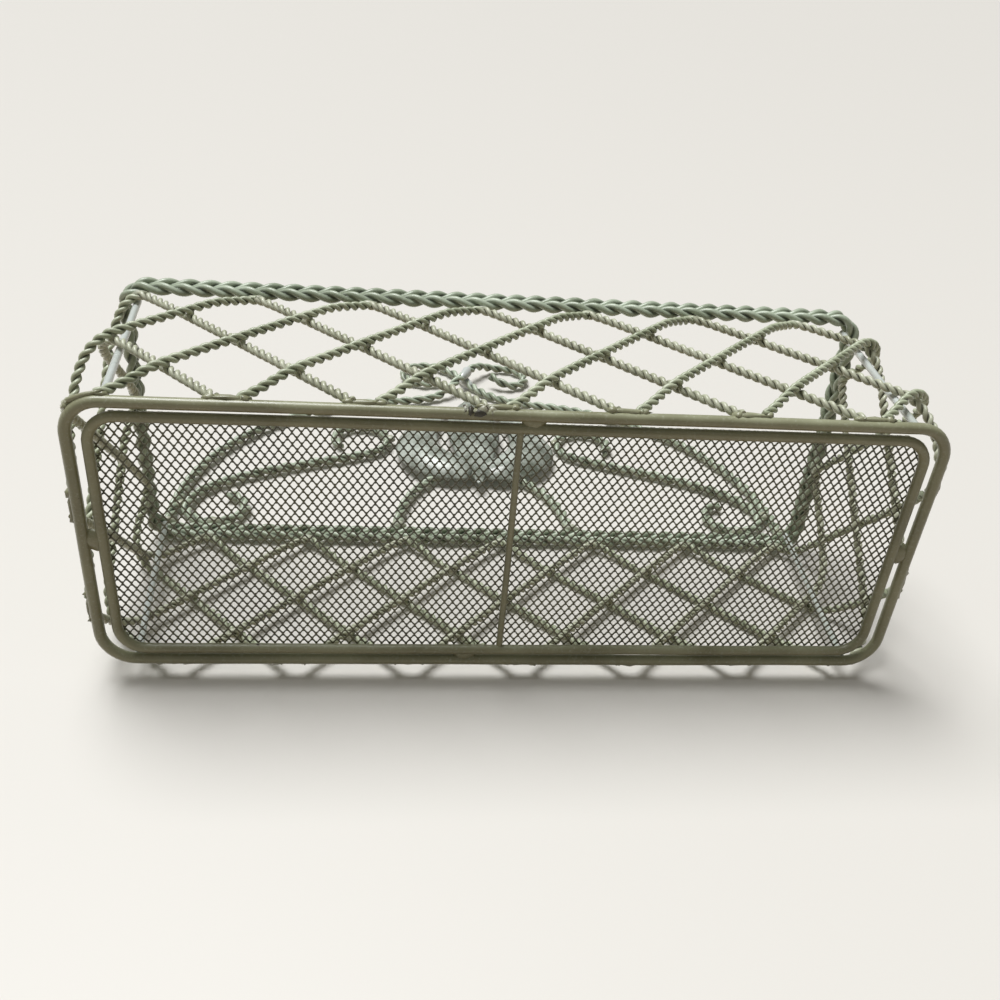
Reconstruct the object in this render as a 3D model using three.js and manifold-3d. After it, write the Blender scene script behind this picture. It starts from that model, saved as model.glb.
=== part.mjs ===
// Wire wall basket: a welded steel-wire basket with a scrollwork crest that lies against a wall.
// Millimetres, +Z up. The front faces -Y and the wall is behind the basket, on +Y.
// The origin is the middle of the footprint, at the height of the surface that the base ring stands on.

import * as THREE from 'three';
import { mergeVertices } from 'three/addons/utils/BufferGeometryUtils.js';
import Module from 'manifold-3d';

// Clearance that welded neighbours keep, so that every piece is a solid of its own
const gap = 0.3;

// Base ring, a plain round rod bent to a rounded rectangle
const ringWidth = 395;
const ringDepth = 139;
const ringCornerRadius = 16;
const ringRodRadius = 2.75;

// Rim, two ropes of twisted rod laid one on the other, a little larger than the base ring
const rimWidth = 402;
const rimDepth = 153;
const rimCornerRadius = 12;
const ropeRadius = 3.5;
const wallHeight = 125;
const ringSetback = 7;

// Tray, a lighter ring inside the base ring that carries the floor of expanded metal
const traySideInset = 8.6;
const trayLongInset = 6.6;
const trayCornerRadius = 13;
const trayRodRadius = 2.5;
const crossbarRadius = 1.6;
const crossbarX = -3.3;
const weldRadius = 2.4;
const frontWeldX = 1.5;
const backWeldX = -20.8;
const meshThickness = 1.2;
const meshCellWidth = 16.7;
const meshCellDepth = 23.6;
const meshStrand = 2.6;
const meshBorder = 3;

// Walls, a diamond lattice of twisted wire in two layers outside four plain corner posts
const nodesPerLongSide = 7;
const nodesPerShortSide = 2;
const frontNodeShift = -14;
const backNodeShift = -8.5;
const nodesPerWire = 2;
const wireRadius = 1.9;
const postRadius = 1.8;
const postInset = 1.2;
const footSpacing = 14;
const peakSpacing = 5.6;
const layerRampLength = 22;

// Crest in the wall plane: widths from the middle, heights from the top of the rim
const arcBulgeWidth = 8;
const arcHandle = 104;
const shoulderHandle = 84;
const shoulderDrop = 11;
const shoulderX = 50;
const shoulderHeight = 187;
const crossingHeight = 229;
const curlX = 33;
const curlHeight = 238;
const curlRadius = 21;
const curlEndRadius = 15.5;
const scrollRadius = 20.5;
const scrollEndRadius = 14;
const innerScrollX = 84;
const innerScrollHeight = 119;
const innerScrollRadius = 23;
const innerScrollEndRadius = 16;
const archHalfSpan = 55;
const archRise = 76;
const tulipBottomHeight = 50;
const tulipHeight = 128;
const petalThickness = 1.6;
const petalBulgeDepth = 9;
const middlePetalWaistPower = 1.4;
const sidePetalWaistPower = 0.6;
const sidePetalFootRise = 18;
const sidePetalBellyRise = 36;
const sidePetalTipDrop = 8;
const petalFullnessPower = 0.8;
const petalEndShare = 0.03;

// The tulip is as wide as the arch that carries it
const middlePetalHalfWidth = archHalfSpan * 0.345;
const sidePetalHalfWidth = archHalfSpan * 0.327;
const sidePetalFoot = archHalfSpan * 0.073;
const sidePetalBelly = archHalfSpan * 1.27;
const sidePetalReach = archHalfSpan * 0.327;

// Facets
const rodSides = 8;
const wireSides = 6;
const cornerSteps = 6;
const petalRows = 9;
const petalColumns = 4;

// Heights that follow from the sizes above
const ringZ = ringRodRadius;
const rimMiddleZ = ringZ + wallHeight;
const lowerRopeZ = rimMiddleZ - ropeRadius - gap / 2;
const upperRopeZ = rimMiddleZ + ropeRadius + gap / 2;
const rimTopZ = upperRopeZ + ropeRadius;
const crestY = rimDepth / 2;

const basket = new THREE.Group();

function addPiece(name, geometry) {
  const paint = new THREE.MeshStandardMaterial({ color: 0x979d83, roughness: 0.5, metalness: 0.25 });
  const piece = new THREE.Mesh(geometry, paint);
  piece.name = name;
  basket.add(piece);
}

// A rounded rectangle in plan, walked anticlockwise from the middle of its front side.
class RoundedLoop {
  constructor(width, depth, cornerRadius, centreY) {
    this.halfRun = width / 2 - cornerRadius;
    this.halfSide = depth / 2 - cornerRadius;
    this.cornerRadius = cornerRadius;
    this.centreY = centreY;
    this.cornerLength = (Math.PI / 2) * cornerRadius;
    this.perimeter = 4 * (this.halfRun + this.halfSide + this.cornerLength);
  }

  // Point and outward direction on corner number 0 to 3, front right first, at a share of its turn
  onCorner(corner, share) {
    const right = corner === 0 || corner === 1 ? 1 : -1;
    const back = corner === 1 || corner === 2 ? 1 : -1;
    const angle = (Math.PI / 2) * (corner - 1 + share);
    const outward = new THREE.Vector2(Math.cos(angle), Math.sin(angle));
    const point = new THREE.Vector2(right * this.halfRun, this.centreY + back * this.halfSide);
    return { point: point.addScaledVector(outward, this.cornerRadius), outward };
  }

  // Point and outward direction at a share of the whole way round
  at(share) {
    const runs = [this.halfRun, 2 * this.halfSide, 2 * this.halfRun, 2 * this.halfSide, this.halfRun];
    let left = THREE.MathUtils.euclideanModulo(share, 1) * this.perimeter;
    for (let side = 0; side < runs.length; side += 1) {
      if (left <= runs[side] || side === runs.length - 1) {
        const end = this.onCorner(side % 4, 0);
        const onward = new THREE.Vector2(-end.outward.y, end.outward.x);
        const toGo = (side === 4 ? 2 * this.halfRun : runs[side]) - left;
        return { point: end.point.addScaledVector(onward, -toGo), outward: end.outward };
      }
      left -= runs[side];
      if (left <= this.cornerLength) {
        return this.onCorner(side, left / this.cornerLength);
      }
      left -= this.cornerLength;
    }
    return undefined;
  }

  // Stations of a closed rod at one height, with a flat looking up
  stations(z) {
    const list = [];
    for (let corner = 0; corner < 4; corner += 1) {
      for (let step = 0; step <= cornerSteps; step += 1) {
        const { point } = this.onCorner(corner, step / cornerSteps);
        list.push({ point: new THREE.Vector3(point.x, point.y, z), facing: new THREE.Vector3(0, 0, 1) });
      }
    }
    return list;
  }
}

// A rod of regular section along a list of stations. One flat of the section looks along each station's
// facing direction, and radius is measured to the flats.
function sweepRod(stations, radius, sides, closed) {
  const count = stations.length;
  const corner = radius / Math.cos(Math.PI / sides);
  const positions = [];
  const triangles = [];
  stations.forEach((station, i) => {
    const before = stations[closed ? (i + count - 1) % count : Math.max(i - 1, 0)].point;
    const after = stations[closed ? (i + 1) % count : Math.min(i + 1, count - 1)].point;
    const along = after.clone().sub(before).normalize();
    const across = station.facing.clone().addScaledVector(along, -station.facing.dot(along)).normalize();
    const beside = along.clone().cross(across);
    for (let k = 0; k < sides; k += 1) {
      const angle = (2 * Math.PI * (k + 0.5)) / sides;
      const vertex = station.point.clone();
      vertex.addScaledVector(across, corner * Math.cos(angle));
      vertex.addScaledVector(beside, corner * Math.sin(angle));
      positions.push(vertex.x, vertex.y, vertex.z);
    }
  });
  const rings = closed ? count : count - 1;
  for (let i = 0; i < rings; i += 1) {
    const here = i * sides;
    const next = ((i + 1) % count) * sides;
    for (let k = 0; k < sides; k += 1) {
      const turn = (k + 1) % sides;
      triangles.push(here + k, here + turn, next + turn, here + k, next + turn, next + k);
    }
  }
  if (!closed) {
    const last = (count - 1) * sides;
    for (let k = 1; k < sides - 1; k += 1) {
      triangles.push(0, k + 1, k, last, last + k, last + k + 1);
    }
  }
  const geometry = new THREE.BufferGeometry();
  geometry.setAttribute('position', new THREE.Float32BufferAttribute(positions, 3));
  geometry.setIndex(triangles);
  geometry.computeVertexNormals();
  return geometry;
}

// Leaves out the stations that lie within a tolerance of the straight line between their neighbours.
function thinStations(stations, tolerance) {
  const first = stations[0].point;
  const last = stations[stations.length - 1].point;
  const line = new THREE.Line3(first, last);
  let farthest = 0;
  let split = 0;
  for (let i = 1; i < stations.length - 1; i += 1) {
    const { point } = stations[i];
    const distance = line.closestPointToPoint(point, true, new THREE.Vector3()).distanceTo(point);
    if (distance > farthest) {
      farthest = distance;
      split = i;
    }
  }
  if (farthest <= tolerance) {
    return [stations[0], stations[stations.length - 1]];
  }
  const head = thinStations(stations.slice(0, split + 1), tolerance);
  const tail = thinStations(stations.slice(split), tolerance);
  return [...head, ...tail.slice(1)];
}

const straightRod = (from, to, facing, radius) =>
  sweepRod([{ point: from, facing }, { point: to, facing }], radius, rodSides, false);

// Base ring
const ringCentreY = crestY - ringSetback - ringDepth / 2;
const ringLoop = new RoundedLoop(ringWidth, ringDepth, ringCornerRadius, ringCentreY);
addPiece('base_ring', sweepRod(ringLoop.stations(ringZ), ringRodRadius, rodSides, true));

// Rim
const rimLoop = new RoundedLoop(rimWidth, rimDepth, rimCornerRadius, 0);
addPiece('rim_lower_rope', sweepRod(rimLoop.stations(lowerRopeZ), ropeRadius, rodSides, true));
addPiece('rim_upper_rope', sweepRod(rimLoop.stations(upperRopeZ), ropeRadius, rodSides, true));

// Tray frame
const trayWidth = ringWidth - 2 * traySideInset;
const trayDepth = ringDepth - 2 * trayLongInset;
const trayLoop = new RoundedLoop(trayWidth, trayDepth, trayCornerRadius, ringCentreY);
addPiece('tray_frame', sweepRod(trayLoop.stations(ringZ), trayRodRadius, rodSides, true));

// Weld bridges between the base ring and the tray frame
function addTrayWeld(name, ringPoint, trayPoint) {
  const along = trayPoint.clone().sub(ringPoint).normalize();
  const from = ringPoint.clone().addScaledVector(along, ringRodRadius + gap);
  const to = trayPoint.clone().addScaledVector(along, -trayRodRadius - gap);
  const level = new THREE.Vector3(-along.y, along.x, 0).normalize();
  addPiece(name, straightRod(from, to, level, weldRadius));
}
const ringFrontY = ringCentreY - ringDepth / 2;
const ringBackY = ringCentreY + ringDepth / 2;
const trayFrontY = ringFrontY + trayLongInset;
const trayBackY = ringBackY - trayLongInset;
for (const [name, side] of [['tray_weld_left', -1], ['tray_weld_right', 1]]) {
  const ringPoint = new THREE.Vector3((side * ringWidth) / 2, ringCentreY, ringZ);
  addTrayWeld(name, ringPoint, new THREE.Vector3((side * trayWidth) / 2, ringCentreY, ringZ));
}
addTrayWeld(
  'tray_weld_front',
  new THREE.Vector3(frontWeldX, ringFrontY, ringZ),
  new THREE.Vector3(frontWeldX, trayFrontY, ringZ),
);
addTrayWeld(
  'tray_weld_back',
  new THREE.Vector3(backWeldX, ringBackY, ringZ),
  new THREE.Vector3(backWeldX, trayBackY, ringZ),
);

// Crossbar, flush with the top of the tray frame
const crossbarZ = ringZ + trayRodRadius - crossbarRadius;
const crossbarTrim = trayRodRadius + gap;
addPiece(
  'tray_crossbar',
  straightRod(
    new THREE.Vector3(crossbarX, trayFrontY + crossbarTrim, crossbarZ),
    new THREE.Vector3(crossbarX, trayBackY - crossbarTrim, crossbarZ),
    new THREE.Vector3(0, 0, 1),
    crossbarRadius,
  ),
);

// Floor of expanded metal, a sheet of diamond openings in staggered rows on top of the tray frame
function meshSheet() {
  const outline = trayLoop.stations(0).map(({ point }) => new THREE.Vector2(point.x, point.y));
  const sheet = new THREE.Shape(outline);
  const halfWidth = (meshCellWidth - meshStrand) / 2;
  const halfDepth = halfWidth * (meshCellDepth / meshCellWidth);
  const reachX = trayWidth / 2 - meshBorder - halfWidth;
  const reachY = trayDepth / 2 - meshBorder - halfDepth;
  const rows = Math.floor((2 * reachY) / (meshCellDepth / 2));
  for (let row = 0; row <= rows; row += 1) {
    const y = (row - rows / 2) * (meshCellDepth / 2);
    const stagger = row % 2 === 0 ? 0 : meshCellWidth / 2;
    const columns = Math.floor((reachX - stagger) / meshCellWidth);
    for (let column = -columns - (stagger > 0 ? 1 : 0); column <= columns; column += 1) {
      const x = column * meshCellWidth + stagger;
      const opening = new THREE.Path();
      opening.moveTo(x - halfWidth, ringCentreY + y);
      opening.lineTo(x, ringCentreY + y + halfDepth);
      opening.lineTo(x + halfWidth, ringCentreY + y);
      opening.lineTo(x, ringCentreY + y - halfDepth);
      opening.closePath();
      sheet.holes.push(opening);
    }
  }
  const geometry = new THREE.ExtrudeGeometry(sheet, { depth: meshThickness, bevelEnabled: false });
  geometry.translate(0, 0, ringZ + trayRodRadius + gap);
  return geometry;
}
addPiece('tray_mesh', meshSheet());

// Wall surface that posts and wires follow: from the base ring up to the inner flank of the lower rope
const rimTuck = ropeRadius + postRadius + gap - postInset;
const wallTopLoop = new RoundedLoop(
  rimWidth - 2 * rimTuck,
  rimDepth - 2 * rimTuck,
  rimCornerRadius - rimTuck,
  0,
);

// A station between a place on the base ring and one on the rim, at a height, off the surface
function betweenLoops(low, high, z, offset) {
  const rise = (z - ringZ) / (lowerRopeZ - ringZ);
  const outward = low.outward.clone().lerp(high.outward, rise).normalize();
  const spot = low.point.clone().lerp(high.point, rise).addScaledVector(outward, offset);
  return {
    point: new THREE.Vector3(spot.x, spot.y, z),
    facing: new THREE.Vector3(outward.x, outward.y, 0),
  };
}

// A station on the wall at a distance walked round the base ring from the front middle
function onWall(walked, z, offset) {
  const share = walked / ringLoop.perimeter;
  return betweenLoops(ringLoop.at(share), wallTopLoop.at(share), z, offset);
}

// Corner posts stand on the base ring where its long sides end, and lean on the lower rope's corners
const postFootZ = ringZ + ringRodRadius + gap;
const posts = [
  ['corner_post_front_right', 0, 0],
  ['corner_post_back_right', 1, 1],
  ['corner_post_back_left', 2, 0],
  ['corner_post_front_left', 3, 1],
];
for (const [name, corner, footShare] of posts) {
  const low = ringLoop.onCorner(corner, footShare);
  const high = wallTopLoop.onCorner(corner, 1 / 2);
  const stations = [postFootZ, lowerRopeZ].map((z) => betweenLoops(low, high, z, -postInset));
  addPiece(name, sweepRod(stations, postRadius, rodSides, false));
}

// Lattice nodes, as distances walked round the base ring: rows on the front and the back, each a little
// off the middle, and the nodes of the short sides evenly between them
const nodePitch = ringLoop.perimeter / (2 * (nodesPerLongSide + nodesPerShortSide));
const halfRow = ((nodesPerLongSide - 1) / 2) * nodePitch;
const frontFirst = frontNodeShift - halfRow;
const frontLast = frontNodeShift + halfRow;
const backFirst = ringLoop.perimeter / 2 + backNodeShift - halfRow;
const backLast = ringLoop.perimeter / 2 + backNodeShift + halfRow;
const rightPitch = (backFirst - frontLast) / (nodesPerShortSide + 1);
const leftPitch = (frontFirst + ringLoop.perimeter - backLast) / (nodesPerShortSide + 1);
const panels = [
  ['front', nodesPerLongSide, frontFirst, nodePitch],
  ['right', nodesPerShortSide, frontLast + rightPitch, rightPitch],
  ['back', nodesPerLongSide, backFirst, nodePitch],
  ['left', nodesPerShortSide, backLast + leftPitch, leftPitch],
];
const nodes = [];
for (const [panel, count, first, pitch] of panels) {
  for (let number = 1; number <= count; number += 1) {
    nodes.push({ panel, number, walked: first + (number - 1) * pitch });
  }
}

// Distance walked to a node by its place in the list, which goes on round the basket past both ends
function nodeAt(index) {
  const rounds = Math.floor(index / nodes.length);
  return nodes[index - rounds * nodes.length].walked + rounds * ringLoop.perimeter;
}

// Lattice wires: the inner layer lies on the posts and the outer layer on the inner one. Wires start in
// pairs at the nodes, and each leans over a set number of nodes up to the lower rope, where both layers
// come together.
const wireRun = nodesPerWire * nodePitch - (footSpacing + peakSpacing) / 2;
const wireLean = wireRun / Math.hypot(wireRun, wallHeight);
const endTrim = gap + (wireRadius / Math.cos(Math.PI / wireSides)) * wireLean;
const wireFootZ = ringZ + ringRodRadius + endTrim;
const wirePeakZ = lowerRopeZ - ropeRadius - endTrim;
const rampShare = layerRampLength / Math.hypot(wireRun, wirePeakZ - wireFootZ);
const innerOffset = postRadius + wireRadius + gap - postInset;
const outerOffset = innerOffset + 2 * wireRadius + gap;
const wireSamples = 64;
const wireToleranceLength = 0.1;

// A wire from a node, with way 1 for the outer layer, which leans onward, and -1 for the inner one
function latticeWire(index, way) {
  const foot = nodeAt(index) + (way * footSpacing) / 2;
  const peak = nodeAt(index + way * nodesPerWire) - (way * peakSpacing) / 2;
  const stations = [];
  for (let i = 0; i <= wireSamples; i += 1) {
    const share = i / wireSamples;
    const lift = THREE.MathUtils.smoothstep(Math.min(share, 1 - share), 0, rampShare);
    const offset = way > 0 ? THREE.MathUtils.lerp(innerOffset, outerOffset, lift) : innerOffset;
    const z = THREE.MathUtils.lerp(wireFootZ, wirePeakZ, share);
    stations.push(onWall(THREE.MathUtils.lerp(foot, peak, share), z, offset));
  }
  return sweepRod(thinStations(stations, wireToleranceLength), wireRadius, wireSides, false);
}

nodes.forEach(({ panel, number }, index) => {
  addPiece(`lattice_${panel}_inner_${number}`, latticeWire(index, -1));
  addPiece(`lattice_${panel}_outer_${number}`, latticeWire(index, 1));
});

// Crest curves are drawn on the right side in the wall plane, as width and height over the rim.
function bezier(points, steps) {
  const [start, startHandle, endHandle, end] = points.map(([x, height]) => new THREE.Vector2(x, height));
  return new THREE.CubicBezierCurve(start, startHandle, endHandle, end).getPoints(steps);
}

function spiral(x, height, fromDegrees, toDegrees, fromRadius, toRadius, steps) {
  const points = [];
  for (let i = 0; i <= steps; i += 1) {
    const angle = THREE.MathUtils.degToRad(THREE.MathUtils.lerp(fromDegrees, toDegrees, i / steps));
    const radius = THREE.MathUtils.lerp(fromRadius, toRadius, i / steps);
    points.push(new THREE.Vector2(x + radius * Math.cos(angle), height + radius * Math.sin(angle)));
  }
  return points;
}

// A rope in the wall plane, with side 1 as drawn and -1 mirrored, and a forward shift for each point
function crestRope(points, side, forward) {
  const stations = points.map(({ x, y }, i) => ({
    point: new THREE.Vector3(side * x, crestY - (forward ? forward[i] : 0), rimTopZ + y),
    facing: new THREE.Vector3(0, 1, 0),
  }));
  return sweepRod(stations, ropeRadius, rodSides, false);
}

// Outer arcs: from the ends of the rim up to the crossing in the middle, and over into a curl. The left
// arc passes in front of the right one.
const arcFootX = (rimWidth - rimCornerRadius) / 2;
const curlFromDegrees = 45;
const curlToDegrees = 320;
const arcSteps = 16;
const bendSteps = 6;
const curlSteps = 16;
const curlHandle = 8;
const bendEaseShare = 0.48;
const bendUpShare = 0.11;
const crossingAcrossShare = 0.2;
const crossingBelowShare = 0.57;
const crossingAboveShare = 0.285;
const curlStartX = -curlX + curlRadius * Math.cos(THREE.MathUtils.degToRad(curlFromDegrees));
const curlStartHeight = curlHeight + curlRadius * Math.sin(THREE.MathUtils.degToRad(curlFromDegrees));
const footTilt = arcBulgeWidth / Math.hypot(arcBulgeWidth, arcHandle);
const arcFootHeight = gap + (ropeRadius / Math.cos(Math.PI / rodSides)) * footTilt;
const shoulderToCrossing = crossingHeight - shoulderHeight;
const overShare = (crossingAcrossShare * crossingAboveShare) / crossingBelowShare;
const sweepUp = bezier(
  [
    [arcFootX, arcFootHeight],
    [arcFootX + arcBulgeWidth, arcFootHeight + arcHandle],
    [shoulderX + shoulderHandle, shoulderHeight - shoulderDrop],
    [shoulderX, shoulderHeight],
  ],
  arcSteps,
);
const bendUp = bezier(
  [
    [shoulderX, shoulderHeight],
    [shoulderX * (1 - bendEaseShare), shoulderHeight + shoulderToCrossing * bendUpShare],
    [shoulderX * crossingAcrossShare, crossingHeight - shoulderToCrossing * crossingBelowShare],
    [0, crossingHeight],
  ],
  bendSteps,
);
const bendOver = bezier(
  [
    [0, crossingHeight],
    [-shoulderX * overShare, crossingHeight + shoulderToCrossing * crossingAboveShare],
    [curlStartX + curlHandle * Math.SQRT1_2, curlStartHeight - curlHandle * Math.SQRT1_2],
    [curlStartX, curlStartHeight],
  ],
  bendSteps,
);
const curl = spiral(-curlX, curlHeight, curlFromDegrees, curlToDegrees, curlRadius, curlEndRadius, curlSteps);
const arcPoints = [...sweepUp, ...bendUp.slice(1), ...bendOver.slice(1), ...curl.slice(1)];
const crossingIndex = arcSteps + bendSteps;

// Forward shift of the left arc: a whole rope and a clearance at the crossing, fading out along the rope
const shiftFull = 2 * ropeRadius + gap;
const shiftHoldLength = 14;
const shiftFadeLength = 44;
const travelled = [0];
for (let i = 1; i < arcPoints.length; i += 1) {
  travelled.push(travelled[i - 1] + arcPoints[i].distanceTo(arcPoints[i - 1]));
}
const arcShift = travelled.map((distance) => {
  const away = Math.abs(distance - travelled[crossingIndex]);
  return shiftFull * (1 - THREE.MathUtils.smoothstep(away, shiftHoldLength, shiftFadeLength));
});
addPiece('crest_arc_right', crestRope(arcPoints, 1));
addPiece('crest_arc_left', crestRope(arcPoints, -1, arcShift));

// Side scrolls: an S from a loop that rests on the rim beside the arc up to a loop beside the tulip
const outerTurnDegrees = 260;
const outerBottomRadius = THREE.MathUtils.lerp(scrollRadius, scrollEndRadius, 90 / outerTurnDegrees);
const outerScrollX = arcFootX - 2 * ropeRadius - gap - scrollRadius;
const outerScrollHeight = ropeRadius + gap + outerBottomRadius;
const innerJoinDegrees = 243;
const innerEndDegrees = -40;
const loopSteps = 16;
const strokeSteps = 12;
const joinAngle = THREE.MathUtils.degToRad(innerJoinDegrees);
const joinX = innerScrollX + innerScrollRadius * Math.cos(joinAngle);
const joinHeight = innerScrollHeight + innerScrollRadius * Math.sin(joinAngle);
const strokeHandle = 40;
const outerLoop = spiral(
  outerScrollX,
  outerScrollHeight,
  -outerTurnDegrees,
  0,
  scrollEndRadius,
  scrollRadius,
  loopSteps,
);
const stroke = bezier(
  [
    [outerScrollX + scrollRadius, outerScrollHeight],
    [outerScrollX + scrollRadius, outerScrollHeight + strokeHandle],
    [joinX - strokeHandle * Math.sin(joinAngle), joinHeight + strokeHandle * Math.cos(joinAngle)],
    [joinX, joinHeight],
  ],
  strokeSteps,
);
const innerLoop = spiral(
  innerScrollX,
  innerScrollHeight,
  innerJoinDegrees,
  innerEndDegrees,
  innerScrollRadius,
  innerScrollEndRadius,
  loopSteps,
);
const scrollPoints = [...outerLoop, ...stroke.slice(1), ...innerLoop.slice(1)];
addPiece('crest_scroll_right', crestRope(scrollPoints, 1));
addPiece('crest_scroll_left', crestRope(scrollPoints, -1));

// Middle arch, half an ellipse that stands on the rim
const archSteps = 18;
const archPoints = [];
for (let i = 0; i <= archSteps; i += 1) {
  const angle = (Math.PI * i) / archSteps;
  archPoints.push(new THREE.Vector2(archHalfSpan * Math.cos(angle), gap + archRise * Math.sin(angle)));
}
addPiece('crest_arch', crestRope(archPoints, 1));

// A pressed petal: rows across a bent centre line, domed forward, with an even sheet thickness. A waist
// over 1 puts its widest place nearer the tip, and one under 1 nearer the base.
function petal(base, handle, tip, halfWidth, waist) {
  const rows = petalRows;
  const columns = petalColumns;
  const centreLine = new THREE.QuadraticBezierCurve(base, handle, tip);
  const backY = crestY - ropeRadius - gap;
  const positions = [];
  for (const thickness of [petalThickness, 0]) {
    for (let row = 0; row <= rows; row += 1) {
      const share = row / rows;
      const spot = centreLine.getPoint(share);
      const along = centreLine.getTangent(share);
      const grown = THREE.MathUtils.lerp(petalEndShare, 1 - petalEndShare, share);
      const swell = Math.sin(Math.PI * Math.pow(grown, waist));
      for (let column = 0; column <= columns; column += 1) {
        const across = (2 * column) / columns - 1;
        const reach = across * halfWidth * Math.pow(swell, petalFullnessPower);
        const dome = petalBulgeDepth * swell * (1 - across * across);
        const height = rimTopZ + spot.y - along.x * reach;
        positions.push(spot.x + along.y * reach, backY - thickness - dome, height);
      }
    }
  }
  const lane = columns + 1;
  const layer = lane * (rows + 1);
  const triangles = [];
  const quad = (a, b, c, d) => triangles.push(a, b, c, a, c, d);
  for (let row = 0; row < rows; row += 1) {
    const here = row * lane;
    for (let column = 0; column < columns; column += 1) {
      const front = here + column;
      const back = front + layer;
      quad(front, front + 1, front + 1 + lane, front + lane);
      quad(back, back + lane, back + 1 + lane, back + 1);
    }
    const end = here + columns;
    quad(here, here + lane, here + lane + layer, here + layer);
    quad(end, end + layer, end + layer + lane, end + lane);
  }
  for (let column = 0; column < columns; column += 1) {
    const top = rows * lane + column;
    quad(column, column + layer, column + 1 + layer, column + 1);
    quad(top, top + 1, top + 1 + layer, top + layer);
  }
  const geometry = new THREE.BufferGeometry();
  geometry.setAttribute('position', new THREE.Float32BufferAttribute(positions, 3));
  geometry.setIndex(triangles);
  return geometry;
}

// Tulip: three petals pressed from one sheet, joined at the bottom and free above
const wasm = await Module();
wasm.setup();

function toManifold(geometry) {
  const merged = mergeVertices(geometry);
  return new wasm.Manifold(
    new wasm.Mesh({
      numProp: 3,
      vertProperties: new Float32Array(merged.attributes.position.array),
      triVerts: new Uint32Array(merged.index.array),
    }),
  );
}

function fromManifold(solid) {
  const { vertProperties, triVerts } = solid.getMesh();
  const geometry = new THREE.BufferGeometry();
  geometry.setAttribute('position', new THREE.Float32BufferAttribute(vertProperties, 3));
  geometry.setIndex(new THREE.Uint32BufferAttribute(triVerts, 1));
  geometry.computeVertexNormals();
  return geometry;
}

const tulipTop = tulipBottomHeight + tulipHeight;
const middlePetal = petal(
  new THREE.Vector2(0, tulipBottomHeight),
  new THREE.Vector2(0, (tulipBottomHeight + tulipTop) / 2),
  new THREE.Vector2(0, tulipTop),
  middlePetalHalfWidth,
  middlePetalWaistPower,
);
const sidePetals = [-1, 1].map((side) =>
  petal(
    new THREE.Vector2(side * sidePetalFoot, tulipBottomHeight + sidePetalFootRise),
    new THREE.Vector2(side * sidePetalBelly, tulipBottomHeight + sidePetalBellyRise),
    new THREE.Vector2(side * sidePetalReach, tulipTop - sidePetalTipDrop),
    sidePetalHalfWidth,
    sidePetalWaistPower,
  ),
);
const tulip = sidePetals.reduce((solid, side) => solid.add(toManifold(side)), toManifold(middlePetal));
addPiece('crest_tulip', fromManifold(tulip));

export default basket;
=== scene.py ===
import math
import bmesh
import bpy
from mathutils import Matrix, Vector, kdtree, noise


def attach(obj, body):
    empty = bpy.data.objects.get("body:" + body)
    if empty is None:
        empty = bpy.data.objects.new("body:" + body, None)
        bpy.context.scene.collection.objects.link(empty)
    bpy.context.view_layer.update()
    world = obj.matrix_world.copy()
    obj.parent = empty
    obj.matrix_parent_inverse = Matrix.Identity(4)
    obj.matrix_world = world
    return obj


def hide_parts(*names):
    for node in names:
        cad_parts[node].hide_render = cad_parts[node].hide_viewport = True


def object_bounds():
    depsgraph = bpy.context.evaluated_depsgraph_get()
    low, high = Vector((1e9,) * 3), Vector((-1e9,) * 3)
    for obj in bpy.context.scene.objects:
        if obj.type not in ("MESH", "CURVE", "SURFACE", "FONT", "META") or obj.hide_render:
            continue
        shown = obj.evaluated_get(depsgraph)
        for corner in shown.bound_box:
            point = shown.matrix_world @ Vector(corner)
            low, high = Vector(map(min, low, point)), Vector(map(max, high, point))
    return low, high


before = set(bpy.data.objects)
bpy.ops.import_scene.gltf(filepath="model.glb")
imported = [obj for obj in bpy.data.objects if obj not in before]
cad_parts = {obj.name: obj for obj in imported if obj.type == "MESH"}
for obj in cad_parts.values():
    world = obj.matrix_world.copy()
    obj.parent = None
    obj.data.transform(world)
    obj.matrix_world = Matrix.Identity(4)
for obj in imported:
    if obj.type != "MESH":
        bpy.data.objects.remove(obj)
cadLow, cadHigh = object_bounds()
scene = bpy.context.scene
scene.view_settings.view_transform = "Standard"
print("frame loaded:", len(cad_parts), "solids")

# overall sizes in metres, the same as the solids'
basket = {
    "gap": 0.0003,
    "ringWidth": 0.395, "ringDepth": 0.139, "ringCorner": 0.016, "ringRod": 0.00275,
    "rimWidth": 0.402, "rimDepth": 0.153, "rimCorner": 0.012, "rope": 0.0035,
    "wallHeight": 0.125, "ringSetback": 0.007,
}
ringZ = basket["ringRod"]
rimMiddleZ = ringZ + basket["wallHeight"]
lowerRopeZ = rimMiddleZ - basket["rope"] - basket["gap"] / 2
upperRopeZ = rimMiddleZ + basket["rope"] + basket["gap"] / 2
rimTopZ = upperRopeZ + basket["rope"]
crestY = basket["rimDepth"] / 2
ringCentreY = crestY - basket["ringSetback"] - basket["ringDepth"] / 2
ropeSpacing = 2 * basket["rope"] + basket["gap"]
up = Vector((0, 0, 1))
right = Vector((1, 0, 0))
forward = Vector((0, -1, 0))
quarterTurn = math.pi / 2
# a fixed seed, so that the rods wander the same way in every run
noiseSeed = 7
noise.seed_set(noiseSeed)


def lerp(start, end, share):
    return start + (end - start) * share


def smoothStep(value, low, high):
    share = min(max((value - low) / (high - low), 0), 1)
    return share * share * (3 - 2 * share)


# a colour given in steps of 255, made linear by the sRGB curve
def srgb(red, green, blue):
    channels = []
    for value in (red, green, blue):
        share = value / 255
        channels.append(share / 12.92 if share < 0.04045 else ((share + 0.055) / 1.055) ** 2.4)
    return (*channels, 1)


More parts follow.
